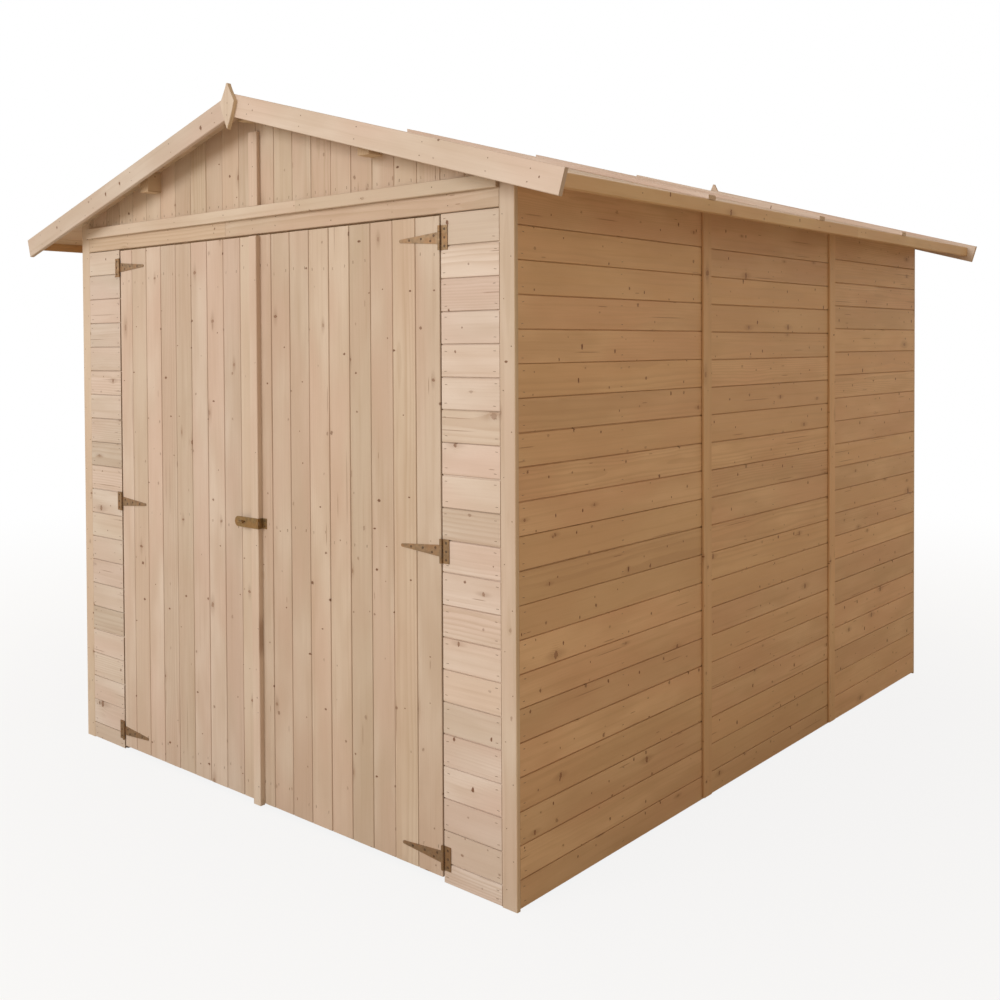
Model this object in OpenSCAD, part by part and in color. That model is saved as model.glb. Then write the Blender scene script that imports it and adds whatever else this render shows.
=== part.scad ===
// Timber garage with a pair of boarded doors, built from framed panels.
// +X is to the right seen from the doors, the doors face -Y, +Z is up.
// The origin is on the ground, in the middle of the building's box.

/* [Walls] */
// Outer width of the walls, over the side boards
wall_w = 2040; // [1900:10:2300]
// Outer length of the walls, over the front and back boards
wall_l = 2890; // [2400:10:3400]
// Thickness of every board
board_t = 14; // [12:1:18]
// Visible width of one lying board, from joint to joint
board_cover = 88; // [80:1:96]
// The same for the side walls' boards
side_cover = 89; // [80:0.5:96]
// Depth of the battens behind the boards
frame_t = 28; // [22:1:34]
// Width of the battens behind the boards
frame_w = 45; // [38:1:58]
// Length of the first two panels of a side wall, the third takes the rest
side_panel_l = 981; // [760:1:1000]
// Gap between the lowest boards and the ground, at the sides and the back
ground_gap = 5; // [3:1:12]
// Width of the trims on the four corners
trim_w = 50; // [38:1:60]
// Width of the strips over the joints of the roof, the gables and the back wall
strip_w = 42; // [36:1:52]
// Width of the strips over the joints of the side walls
side_strip_w = 52; // [40:1:70]

/* [Front] */
// Height of the lower edge of the board over the doors
head_z = 1818; // [1760:1:1840]
// Height of the joint between the front wall and its gable
gable_z = 1883; // [1870:1:1890]
// Width of the doorway between its jambs
doorway_w = 1544; // [1400:2:1600]
// Visible width of the gables' standing boards
gable_cover = 85.5; // [80:0.5:96]

/* [Roof] */
// Pitch of the roof in degrees
pitch = 16.4; // [15:0.1:18]
// Height of the roof boards' upper face at the eaves
eave_z = 1876; // [1872:1:1890]
// Reach of the eaves beyond the side walls
eave_reach = 190; // [150:5:220]
// Reach of the roof boards beyond the front and back walls
gable_reach = 84; // [70:2:110]
// Number of roof panels along the building
roof_panels = 4; // [3:1:5]
// Width of the barge boards
barge_w = 69; // [60:1:80]
// Height of the finials
finial_h = 142; // [120:2:160]

/* [Doors] */
// Visible width of the doors' standing boards
door_cover = 87; // [80:0.5:96]
// Running gap round each leaf
leaf_gap = 5; // [5:0.5:7]
// Height of the leaves' lower edge
leaf_z = 15; // [12:1:30]
// Width of the strip over the meeting edges
meeting_w = 35; // [30:1:48]
// Thickness of that strip
meeting_t = 18; // [16:1:22]
// Height of the hinge plates
hinge_h = 66; // [56:2:80]
// Length of the tapered hinge straps
strap_l = 150; // [130:5:180]
// Height of the hasp
hasp_h = 33; // [28:1:40]

/* [Hidden] */

wood = "#d9b78f";
wood_shade = "#c9a47a";
zinc = "#8f7440";

// Joints between boards
groove_w = 5;
groove_d = 3;
side_first = [75, 73, 90];
side_strip_t = 8;
side_strip_foot = 12;
side_top_board = 80;
roof_first = 56;

// Clearances between timbers: side by side, and under the slope of the roof
part_gap = 0.5;
seat = 0.05;

// Main lines of the building
front_y = -wall_l / 2;
wall_x = wall_w / 2;
frame_y = front_y + board_t;
room_x = wall_x - board_t - frame_t;
trim_x = wall_x - trim_w;
jamb_x = doorway_w / 2;
side_l = wall_l - 2 * board_t;
side_y = [for (i = [0 : 2]) -side_l / 2 + i * side_panel_l];
side_span = [side_panel_l, side_panel_l, side_l - 2 * side_panel_l];

// Roof
roof_half = wall_x + eave_reach;
deck_half = roof_half - 16;
deck_l = wall_l + 2 * gable_reach;
panel_l = deck_l / roof_panels;
rafter_w = 28;
rafter_d = 22;
barge_t = 15;
barge_rise = 13;
barge_overrun = 35;
strip_top = 40;
eave_board_h = 37;
beam_w = 45;
ridge_d = 50;
purlin_x = 510;
purlin_d = 70;
beam_l = deck_l - 2 * (rafter_w + 2);
finial_w = 68;
finial_t = 14;

// Gable
batten_h = 37;
batten_drop = 14;
gable_strip_drop = 80;

// Doors
leaf_w = (doorway_w - 3 * leaf_gap) / 2;
leaf_h = head_z - leaf_gap - leaf_z;
leaf_edge = leaf_gap / 2;
ledge_w = 70;
ledge_z = [45, 860, 1670];
pin_x = jamb_x - leaf_gap / 2;
pin_out = 5;
pin_y = front_y - pin_out;
pin_r = 2.5;
pin_clear = 0.08;
knuckle_r = 4.5;
plate_t = 2.5;
plate_w = 22;
strap_root = 32;
strap_tip = 9;
hinge_z = [70, 907, 1753];

// Hasp
hasp_z = 906;
hasp_t = 2;
hasp_l = 114;
hasp_pin_x = meeting_w / 2 + 1;
hasp_pin_y = front_y - meeting_t - 2.5;
staple_x = -60;
staple_reach = 32;

// Roof surfaces at a distance x from the ridge
function deck_top(x) = eave_z + (roof_half - abs(x)) * tan(pitch);
function deck_under(x) = deck_top(x) - board_t / cos(pitch);
function upright(t) = t / cos(pitch);

// Places of the joints along a span, from the first one in steps of a board's cover
function joints(first, span, cover) =
    [for (z = first; z < span - groove_w; z = z + cover) if (z > groove_w) z];

// Outline of grooved boarding: depth along x, span along y
function boarding_outline(places, span) = concat(
    [[board_t, 0], [board_t, span], [0, span]],
    [for (i = [len(places) - 1 : -1 : 0]) each groove(places[i])],
    [[0, 0]]
);
function groove(z) = [[0, z + groove_w / 2], [groove_d, z], [0, z - groove_w / 2]];

// Boards lying along X, grooved face at y = 0 towards -Y, without joints near the top if wanted
module lying_boards(length, height, first, cover, top_board = 0) {
    rotate([90, 0, 90])
        linear_extrude(length)
            polygon(boarding_outline(joints(first, height - top_board, cover), height));
}

// Boards standing along Z, grooved face at y = 0 towards -Y
module standing_boards(width, height, first, cover) {
    linear_extrude(height)
        mirror([1, -1, 0])
            polygon(boarding_outline(joints(first, width, cover), width));
}

// Everything above the underside of the roof boards
module roof_space() {
    far = roof_half + 200;
    rotate([90, 0, 0])
        linear_extrude(2 * deck_l, center = true)
            polygon([
                [-far, deck_under(far)], [0, deck_under(0)], [far, deck_under(far)],
                [far, deck_top(0) + 500], [-far, deck_top(0) + 500]
            ]);
}

// A profile in the X-Z plane carried along Y from y0 over a length
module along_y(y0, length) {
    translate([0, y0 + length, 0])
        rotate([90, 0, 0])
            linear_extrude(length)
                children();
}

// A strip of the roof slope between x0 and x1, from offset a to b below the roof boards
module slope_band(x0, x1, top, depth) {
    polygon([
        [x0, deck_top(x0) - top], [x1, deck_top(x1) - top],
        [x1, deck_top(x1) - top - depth], [x0, deck_top(x0) - top - depth]
    ]);
}

// ---- Walls -----------------------------------------------------------

// Battens behind a panel: posts at the given places, rails between them below and above
module panel_frame(z_top, posts) {
    rail_x = frame_w + part_gap;
    for (x = posts)
        translate([x, board_t, 0])
            cube([frame_w, frame_t, z_top]);
    for (i = [1 : len(posts) - 1])
        for (z = [0, z_top - frame_w])
            translate([posts[i - 1] + rail_x, board_t, z])
                cube([posts[i] - posts[i - 1] - rail_x - part_gap, frame_t, frame_w]);
}

// Boards of one panel of the right wall, number 0 at the front
module side_panel(i) {
    color(wood)
        difference() {
            translate([wall_x, side_y[i], ground_gap])
                rotate([0, 0, 90])
                    lying_boards(side_span[i], deck_under(room_x) - ground_gap, side_first[i],
                        side_cover, side_top_board);
            roof_space();
        }
}

// Battens behind the three panels of the right wall
module side_battens() {
    color(wood)
        difference() {
            for (i = [0 : 2])
                translate([wall_x, side_y[i], 0])
                    rotate([0, 0, 90])
                        panel_frame(deck_under(room_x), [
                            part_gap / 2, (side_span[i] - frame_w) / 2,
                            side_span[i] - frame_w - part_gap / 2
                        ]);
            roof_space();
        }
}

// Strips over the joints between the right wall's panels
module side_strips() {
    color(wood_shade)
        difference() {
            for (i = [1, 2])
                translate([wall_x, side_y[i] - side_strip_w / 2, side_strip_foot])
                    cube([side_strip_t, side_strip_w, deck_top(0)]);
            roof_space();
        }
}

// Boards of the narrow panel beside the doorway, on the right
module front_panel() {
    color(wood)
        translate([jamb_x, front_y, 0])
            lying_boards(trim_x - jamb_x, head_z, head_z % board_cover, board_cover);
}

// Board over the doorway
module header() {
    color(wood)
        translate([-trim_x, front_y, head_z])
            cube([2 * trim_x, board_t, gable_z - head_z]);
}

// Battens of the front wall: beside the doorway, the rail over it and the gable's frame
module front_battens() {
    color(wood) {
        for (side = [0, 1])
            mirror([side, 0, 0]) {
                translate([jamb_x, front_y, 0])
                    panel_frame(head_z - part_gap, [0, room_x - jamb_x - frame_w]);
                gable_frame();
            }
        translate([-room_x, frame_y, head_z])
            cube([2 * room_x, frame_t, gable_z - part_gap - head_z]);
    }
}

// Boards of the right half of a gable, cut out for the beams
module gable_half() {
    color(wood)
        difference() {
            translate([0, front_y, gable_z])
                standing_boards(trim_x, deck_top(0) - gable_z, gable_cover, gable_cover);
            roof_space();
            beams_outline();
        }
}

// Frame behind that half: a rail, a post under the ridge and a sloping rail
module gable_frame() {
    rail_top = gable_z + frame_w;
    post_x = part_gap / 2;
    slope_x = frame_w + part_gap;
    foot = rail_top + part_gap;
    foot_x = room_x - (foot - deck_under(room_x) + upright(frame_w)) / tan(pitch);
    translate([post_x, frame_y, gable_z])
        cube([room_x - post_x, frame_t, frame_w]);
    translate([post_x, frame_y, foot])
        cube([frame_w - post_x, frame_t, beam_foot(0) - part_gap - foot]);
    difference() {
        along_y(frame_y, frame_t)
            polygon([
                [slope_x, deck_under(slope_x) - seat], [room_x, deck_under(room_x) - seat],
                [room_x, foot], [foot_x, foot],
                [slope_x, deck_under(slope_x) - upright(frame_w)]
            ]);
        translate([purlin_x - part_gap, frame_y - 1, gable_z])
            cube([beam_w + 2 * part_gap, frame_t + 2, deck_top(0) - gable_z]);
    }
}

// Batten over the joint between wall and gable
module gable_batten() {
    color(wood)
        translate([-trim_x, front_y - board_t, gable_z - batten_drop])
            cube([2 * trim_x, board_t, batten_h]);
}

// Strip over the joint between the gable's halves, ending below the ridge
module gable_strip() {
    z0 = gable_z - batten_drop + batten_h;
    color(wood_shade)
        translate([-strip_w / 2, front_y - board_t, z0])
            cube([strip_w, board_t, deck_under(0) - gable_strip_drop - z0]);
}

// Trims on the two front corners
module corner_trims() {
    color(wood_shade)
        difference() {
            for (side = [-1, 1])
                translate([side > 0 ? trim_x : -wall_x, front_y, 0])
                    cube([trim_w, board_t, deck_top(0)]);
            roof_space();
        }
}

// Boards of the right half of the back wall
module back_panel() {
    z_first = (head_z - ground_gap) % board_cover;
    color(wood)
        translate([0, front_y, ground_gap])
            lying_boards(trim_x, gable_z - ground_gap, z_first, board_cover);
}

// Battens of the back wall and its gable, drawn at the front
module back_battens() {
    color(wood)
        for (side = [0, 1])
            mirror([side, 0, 0]) {
                translate([0, front_y, 0])
                    panel_frame(gable_z - part_gap,
                        [part_gap / 2, (room_x - frame_w) / 2, room_x - frame_w]);
                gable_frame();
            }
}

// Strips over the middle joints of the back wall and its gable, drawn at the front
module back_strips() {
    gable_strip();
    color(wood_shade)
        translate([-strip_w / 2, front_y - board_t, ground_gap])
            cube([strip_w, board_t, gable_z - batten_drop - ground_gap]);
}

// ---- Roof ------------------------------------------------------------

// Room that the beams take up in the gables, up to the roof
module beams_outline() {
    for (x = [-purlin_x - beam_w, -beam_w / 2, purlin_x])
        along_y(-beam_l / 2, beam_l)
            translate([x, beam_foot(x)])
                square([beam_w, 400]);
}
function beam_foot(x) = abs(x) < beam_w ? deck_under(0) - ridge_d : deck_under(purlin_x) - purlin_d;

// Beam under the ridge, between the outer rafters
module ridge_beam() {
    color(wood)
        difference() {
            along_y(-beam_l / 2, beam_l)
                translate([-beam_w / 2, beam_foot(0)])
                    square([beam_w, ridge_d]);
            roof_space();
        }
}

// Beams halfway down each slope
module purlins() {
    color(wood)
        difference() {
            along_y(-beam_l / 2, beam_l)
                for (x = [-purlin_x - beam_w, purlin_x])
                    translate([x, beam_foot(x)])
                        square([beam_w, purlin_d]);
            roof_space();
        }
}

// Groove between two roof boards, at a distance s down the slope from the ridge
function roof_groove(s) = [for (k = [-1, 0, 1])
    let (x = (s + k * groove_w / 2) * cos(pitch))
    [x, deck_top(x) - (k == 0 ? upright(groove_d) : 0)]];

// Boards of one panel of the right slope, along the eaves, number 0 at the front
module roof_panel(i) {
    slope_l = deck_half / cos(pitch);
    color(wood)
        along_y(-deck_l / 2 + i * panel_l, panel_l)
            polygon(concat(
                [[0, deck_under(0)], [0, deck_top(0)]],
                [for (s = joints(roof_first, slope_l, board_cover)) each roof_groove(s)],
                [[deck_half, deck_top(deck_half)], [deck_half, deck_under(deck_half)]]
            ));
}

// Rafters of the right slope: two to a panel
module rafters() {
    color(wood)
        for (i = [0 : roof_panels - 1]) {
            y0 = -deck_l / 2 + i * panel_l;
            rafter(y0, i == 0);
            rafter(y0 + panel_l - rafter_w, i == roof_panels - 1);
        }
}

// One rafter: whole outside the end walls, else in pieces between beams, wall and eave board
module rafter(y, outside) {
    spans = outside
        ? [[part_gap / 2, deck_half]]
        : [[beam_w / 2, purlin_x], [purlin_x + beam_w, room_x], [wall_x + board_t, deck_half]];
    along_y(y, rafter_w)
        for (s = spans)
            slope_band(s[0], s[1], upright(board_t) + seat, upright(rafter_d));
}

// Strips over the joints between the roof panels, down the right slope
module roof_strips() {
    color(wood_shade)
        for (i = [1 : roof_panels - 1])
            along_y(-deck_l / 2 + i * panel_l - strip_w / 2, strip_w)
                slope_band(strip_top, roof_half, -upright(barge_rise), upright(barge_rise) - seat);
}

// Board along the right eave
module eave_board() {
    color(wood)
        along_y(-deck_l / 2, deck_l)
            polygon([
                [deck_half, eave_z - eave_board_h], [roof_half, eave_z - eave_board_h],
                [roof_half, eave_z], [deck_half, deck_top(deck_half)]
            ]);
}

// Board along the front edge of the right slope, cut square at its foot
module barge() {
    root = part_gap / 2;
    foot = roof_half + barge_overrun;
    top = deck_top(0) + upright(barge_rise);
    foot_z = top - foot * tan(pitch);
    color(wood)
        along_y(-deck_l / 2 - barge_t, barge_t)
            polygon([
                [root, top - root * tan(pitch)], [foot, foot_z],
                [foot - barge_w * sin(pitch), foot_z - barge_w * cos(pitch)],
                [root, top - root * tan(pitch) - upright(barge_w)]
            ]);
}

// Pointed finial over the apex: a narrow tip, shoulders and a point below
module finial() {
    tip_r = 5;
    shoulder = 58;
    shoulder_x = finial_w / 2;
    cheek = [0.58 * shoulder_x, -shoulder - 0.55 * (finial_h - shoulder)];
    top_z = deck_top(0) + upright(barge_rise) + 29;
    color(wood_shade)
        along_y(-deck_l / 2 - barge_t - finial_t, finial_t)
            translate([0, top_z])
                polygon(concat(
                    [for (a = [0 : 15 : 180]) tip_r * [cos(a), sin(a) - 1]],
                    [[-shoulder_x, -shoulder], [-cheek[0], cheek[1]], [0, -finial_h]],
                    [cheek, [shoulder_x, -shoulder]]
                ));
}

// ---- Doors -----------------------------------------------------------

// Boards of the right leaf, the first joint at a given distance from the meeting edge
module leaf(first) {
    color(wood)
        translate([leaf_edge, front_y, leaf_z])
            standing_boards(leaf_w, leaf_h, first, door_cover);
}

// Ledges and braces on the back of the right leaf
module leaf_braces() {
    inset = 30;
    x0 = leaf_edge + inset;
    x1 = leaf_edge + leaf_w - inset;
    color(wood)
        translate([0, frame_y + frame_t, 0])
            rotate([90, 0, 0])
                linear_extrude(frame_t) {
                    for (z = ledge_z)
                        translate([x0, z])
                            square([x1 - x0, ledge_w]);
                    for (i = [0, 1])
                        polygon([
                            [x1, ledge_z[i] + ledge_w], [x1 - 1.3 * ledge_w, ledge_z[i] + ledge_w],
                            [x0, ledge_z[i + 1]], [x0 + 1.3 * ledge_w, ledge_z[i + 1]]
                        ]);
                }
}

// Strip over the meeting edges, fixed to the right leaf and clear of the left one
module meeting_strip() {
    z0 = leaf_z - 5;
    x0 = -meeting_w / 2;
    color(wood_shade)
        translate([0, 0, z0])
            linear_extrude(head_z - 6 - z0)
                polygon([
                    [x0, front_y - meeting_t], [-x0, front_y - meeting_t], [-x0, front_y],
                    [leaf_edge, front_y], [leaf_edge, front_y - leaf_gap],
                    [x0, front_y - leaf_gap]
                ]);
}

// One knuckle of a hinge on the right jamb
module knuckle(z, h) {
    translate([pin_x, pin_y, z])
        cylinder(r = knuckle_r, h = h, $fn = 48);
}

// Plates on the right jamb: each a flat, two knuckles and the pin through them
module jamb_plates() {
    end_h = (hinge_h - strap_root) / 2;
    color(zinc)
        for (z = hinge_z) {
            translate([pin_x, front_y - plate_t, z - hinge_h / 2])
                cube([plate_w + knuckle_r, plate_t, end_h]);
            translate([pin_x, front_y - plate_t, z + hinge_h / 2 - end_h])
                cube([plate_w + knuckle_r, plate_t, end_h]);
            translate([pin_x + knuckle_r + 1, front_y - plate_t, z - hinge_h / 2])
                cube([plate_w - 1, plate_t, hinge_h]);
            knuckle(z - hinge_h / 2, end_h);
            knuckle(z + hinge_h / 2 - end_h, end_h);
            translate([pin_x, pin_y, z - hinge_h / 2])
                cylinder(r = pin_r, h = hinge_h, $fn = 48);
        }
}

// Tapered straps on the right leaf, each with the knuckle between the plate's two
module leaf_straps() {
    half = strap_root / 2 - 0.5;
    tip_x = pin_x - strap_l + strap_tip / 2;
    color(zinc)
        for (z = hinge_z)
            difference() {
                union() {
                    translate([0, front_y, z])
                        rotate([90, 0, 0])
                            linear_extrude(plate_t) {
                                polygon([
                                    [pin_x, half], [pin_x - 12, half], [tip_x, strap_tip / 2],
                                    [tip_x, -strap_tip / 2], [pin_x - 12, -half], [pin_x, -half]
                                ]);
                                translate([tip_x, 0])
                                    circle(strap_tip / 2, $fn = 32);
                            }
                    knuckle(z - half, 2 * half);
                }
                translate([pin_x, pin_y, z - strap_root])
                    cylinder(r = pin_r + pin_clear, h = 2 * strap_root, $fn = 48);
            }
}

// ---- Hasp ------------------------------------------------------------

// Fixed plate, bent from the right leaf's face along the meeting strip's edge
module hasp_plate() {
    x0 = meeting_w / 2;
    third = hasp_h / 3;
    color(zinc)
        difference() {
            union() {
                translate([x0, front_y - hasp_t, hasp_z - hasp_h / 2])
                    cube([22, hasp_t, hasp_h]);
                for (z = [-hasp_h / 2, third / 2])
                    translate([x0, hasp_pin_y, hasp_z + z])
                        cube([hasp_t, front_y - hasp_pin_y, third]);
                translate([x0, front_y - meeting_t + 3, hasp_z - hasp_h / 2])
                    cube([hasp_t, meeting_t - 3, hasp_h]);
                for (z = [-hasp_h / 2, third / 2])
                    translate([hasp_pin_x, hasp_pin_y, hasp_z + z])
                        cylinder(r = 2.5, h = third, $fn = 32);
                translate([hasp_pin_x, hasp_pin_y, hasp_z - hasp_h / 2])
                    cylinder(r = 1.2, h = hasp_h, $fn = 32);
            }
        }
}

// Swinging strap with a rounded end and a slot for the staple
module hasp_strap() {
    third = hasp_h / 3 - 0.6;
    end_r = hasp_h / 2;
    end_x = hasp_pin_x - hasp_l + end_r;
    root_x = hasp_pin_x - 5;
    color(zinc)
        difference() {
            union() {
                translate([0, front_y - meeting_t - 0.5, hasp_z])
                    rotate([90, 0, 0])
                        linear_extrude(hasp_t)
                            difference() {
                                union() {
                                    translate([end_x, 0])
                                        circle(end_r, $fn = 64);
                                    translate([end_x, -end_r])
                                        square([root_x - end_x, hasp_h]);
                                    translate([root_x - 1, -third / 2])
                                        square([6, third]);
                                }
                                translate([staple_x - 14, -4])
                                    square([28, 8]);
                            }
                translate([hasp_pin_x, hasp_pin_y, hasp_z - third / 2])
                    cylinder(r = 2.5, h = third, $fn = 32);
            }
            translate([hasp_pin_x, hasp_pin_y, hasp_z - hasp_h])
                cylinder(r = 1.2 + pin_clear, h = 2 * hasp_h, $fn = 32);
        }
}

// Staple on the left leaf, standing through the strap's slot
module hasp_staple() {
    wire_r = 2.5;
    half = 10;
    color(zinc) {
        for (x = [-half, half])
            translate([staple_x + x, front_y, hasp_z])
                rotate([90, 0, 0])
                    cylinder(r = wire_r, h = staple_reach - wire_r, $fn = 32);
        translate([staple_x - half, front_y - staple_reach + wire_r, hasp_z])
            rotate([0, 90, 0])
                cylinder(r = wire_r, h = 2 * half, $fn = 32);
        for (x = [-half, half])
            translate([staple_x + x, front_y - staple_reach + wire_r, hasp_z])
                sphere(wire_r, $fn = 32);
    }
}

// ---- Nodes -----------------------------------------------------------

module flip_x() { mirror([1, 0, 0]) children(); }
module flip_y() { mirror([0, 1, 0]) children(); }
module both_sides() { children(); flip_x() children(); }

flip_x() front_panel();  // front_panel_left
front_panel();  // front_panel_right
header();  // front_header
front_battens();  // front_wall_battens
flip_x() gable_half();  // front_gable_left
gable_half();  // front_gable_right
gable_batten();  // front_gable_batten
gable_strip();  // front_gable_strip
corner_trims();  // front_corner_trims
side_panel(0);  // right_wall_front
side_panel(1);  // right_wall_middle
side_panel(2);  // right_wall_back
flip_x() side_panel(0);  // left_wall_front
flip_x() side_panel(1);  // left_wall_middle
flip_x() side_panel(2);  // left_wall_back
both_sides() side_battens();  // side_wall_battens
both_sides() side_strips();  // side_wall_strips
flip_x() flip_y() back_panel();  // back_wall_left
flip_y() back_panel();  // back_wall_right
flip_x() flip_y() gable_half();  // back_gable_left
flip_y() gable_half();  // back_gable_right
flip_y() back_battens();  // back_wall_battens
flip_y() gable_batten();  // back_gable_batten
flip_y() back_strips();  // back_wall_strips
flip_y() corner_trims();  // back_corner_trims
ridge_beam();
purlins();
both_sides() rafters();
roof_panel(0);  // roof_right_1
roof_panel(1);  // roof_right_2
roof_panel(2);  // roof_right_3
roof_panel(3);  // roof_right_4
flip_x() roof_panel(0);  // roof_left_1
flip_x() roof_panel(1);  // roof_left_2
flip_x() roof_panel(2);  // roof_left_3
flip_x() roof_panel(3);  // roof_left_4
both_sides() roof_strips();
both_sides() eave_board();  // eave_boards
both_sides() barge();  // front_barges
flip_y() both_sides() barge();  // back_barges
finial();  // front_finial
flip_y() finial();  // back_finial
flip_x() leaf(81.5);  // door_left_leaf
flip_x() leaf_braces();  // door_left_braces
flip_x() leaf_straps();  // door_left_straps
leaf(65.5);  // door_right_leaf
leaf_braces();  // door_right_braces
leaf_straps();  // door_right_straps
meeting_strip();
both_sides() jamb_plates();  // hinge_plates
hasp_plate();
hasp_strap();
hasp_staple();
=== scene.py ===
"""Wooden garage: boards, battens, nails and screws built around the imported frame.

The battens of the front wall, the hinges and the hasp are the frame's own meshes. Lengths are in
metres. +X is to the right seen from the doors, the doors face -Y, and +Z is up.
"""
import math
import random

import bpy
from mathutils import Matrix, Vector
from mathutils.geometry import tessellate_polygon


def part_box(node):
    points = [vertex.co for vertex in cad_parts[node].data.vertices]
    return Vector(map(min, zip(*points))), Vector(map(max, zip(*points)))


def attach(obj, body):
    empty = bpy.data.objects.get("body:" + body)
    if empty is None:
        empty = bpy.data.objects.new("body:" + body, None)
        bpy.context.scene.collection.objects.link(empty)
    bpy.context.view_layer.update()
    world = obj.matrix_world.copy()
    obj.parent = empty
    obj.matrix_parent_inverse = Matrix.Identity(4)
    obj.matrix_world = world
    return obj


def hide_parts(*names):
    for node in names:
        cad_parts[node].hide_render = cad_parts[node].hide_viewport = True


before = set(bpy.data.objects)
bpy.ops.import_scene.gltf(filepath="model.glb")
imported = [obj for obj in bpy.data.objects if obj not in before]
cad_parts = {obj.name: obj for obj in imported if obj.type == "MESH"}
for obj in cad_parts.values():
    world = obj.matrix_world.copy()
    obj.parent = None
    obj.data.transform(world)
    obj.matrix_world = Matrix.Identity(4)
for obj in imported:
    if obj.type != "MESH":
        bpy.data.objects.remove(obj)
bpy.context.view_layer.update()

X, Y, Z = Vector((1, 0, 0)), Vector((0, 1, 0)), Vector((0, 0, 1))

# Boards: thickness, and widths from joint to joint
T = 0.014
COVER = 0.088
SIDE_COVER = 0.089
GABLE_COVER = 0.0855
DOOR_COVER = 0.087
NARROWEST = 0.012            # a narrower rest goes to the board beside it
SIDE_JOINT = {"front": .080, "middle": .078, "back": .095}   # height of a joint of each panel
SIDE_TOP_BOARD = 0.07        # the side walls' top board is never narrower
FOOT = 0.005                 # gap under the side and back walls' boards
BACK_JOINT = 1.818           # height of a joint of the back wall
RIDGE_BOARD = 0.056          # the roof's first board, at the ridge
DOOR_BOARDS = 9
DOOR_FIRST = {"right": 0.0655, "left": 0.0815}               # each leaf's first board
UNCUT = 1.0                  # length of a board whose ends are cut afterwards

# Battens, trims and strips
TRIM_W = 0.050
BATTEN_T = 0.028
BATTEN_W = 0.045
GAP = 0.0005                 # between timbers that would touch
PURLIN_X = 0.510             # the purlins' inner side
PURLIN_END = PURLIN_X + BATTEN_W
RAFTER_W, RAFTER_D = 0.028, 0.022
SIDE_STRIP_W, SIDE_STRIP_T, SIDE_STRIP_FOOT = 0.052, 0.008, 0.012
ROOF_STRIP_W, ROOF_STRIP_T = 0.042, 0.013
ROOF_STRIP_X = 0.040         # where the roof's strips start, beside the ridge
BARGE_W = 0.069
LEDGE_W, LEDGE_Z = 0.070, (0.045, 0.860, 1.670)

# How far boards are off: out of line, bowed, and wavy from one cross-section to the next
LIFT, BOW, WAVE = 0.00025, 0.0005, 0.00028
SECTION = 0.22

# Hardware: heights of the hinges, and their screws from the pin, sideways and up
HINGE_Z = (0.070, 0.907, 1.753)
KNUCKLE_R = 0.0045
PLATE_SCREWS = [(-.0165, dz) for dz in (-.023, 0.0, .023)]
STRAP_SCREWS = [(.022, .0075), (.034, -.0065), (.068, .0015), (.112, 0.0)]

PITCH = math.radians(16.4)
TAN, COS, SIN = math.tan(PITCH), math.cos(PITCH), math.sin(PITCH)

WALL_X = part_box("right_wall_middle")[1].x
ROOM_X = WALL_X - T - BATTEN_T
TRIM_X = WALL_X - TRIM_W
FRONT_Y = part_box("front_header")[0].y
RIDGE_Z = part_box("roof_right_1")[1].z
DECK_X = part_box("roof_right_1")[1].x
ROOF_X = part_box("roof_strips")[1].x
DECK_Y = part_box("roof_right_4")[1].y
PANELS = 4
PANEL_L = 2 * DECK_Y / PANELS
PANEL_Y = [-DECK_Y + i * PANEL_L for i in range(PANELS + 1)]

SIDES = ((1, "right"), (-1, "left"))
ENDS = ((-1, "front"), (1, "back"))
# the back's trims and rails get the eave wood, which carries a painted shade
TRIM_WOOD = {"front": "trim", "back": "eave"}


def top(x):
    """Height of the roof boards' upper face."""
    return RIDGE_Z - abs(x) * TAN


def under(x):
    """Height of the roof boards' underside."""
    return top(x) - T / COS


def spaced(first, step, count):
    """Places of nails at an even step."""
    return [first + step * k for k in range(count)]


# ---- Timber ------------------------------------------------------------

def board_profile(w, t, tongue, groove, gaps, ease):
    """Tongue and groove board: (across, out) points, the face at out = 0."""
    a0, a1 = gaps[0] / 2, w - gaps[1] / 2
    back_ease = .0006
    pts = [(a0, -ease * 1.5), (a0 + ease, 0), (a1 - ease, 0), (a1, -ease * 1.5)]
    if tongue:
        pts += [(a1, -.0048), (a1 + .0035, -.0053), (a1 + .0035, -.0088), (a1, -.0093)]
    pts += [(a1, -t + back_ease), (a1 - back_ease, -t), (a0 + back_ease, -t), (a0, -t + back_ease)]
    if groove:
        pts += [(a0, -.0096), (a0 + .0052, -.0092), (a0 + .0052, -.0050), (a0, -.0045)]
    return pts


def bar_profile(w, t, e):
    """Sawn batten with edges eased by e."""
    return [(0, -e), (e, 0), (w - e, 0), (w, -e), (w, -t + e), (w - e, -t), (e, -t), (0, -t + e)]


def sides_of_rings(base, rings, n, reverse):
    """Quads between rings of n points, the first of them at vertex base."""
    out = []
    for k in range(rings - 1):
        for i in range(n):
            j = (i + 1) % n
            lower, upper = base + k * n, base + (k + 1) * n
            quad = [lower + i, lower + j, upper + j, upper + i]
            out.append(quad[::-1] if reverse else quad)
    return out


def turned_sideways(normal):
    """Whether a face looks to the left or right; such faces get a piece's flank wood, a painted
    shade.
    """
    return abs(normal.x) > .7


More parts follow.
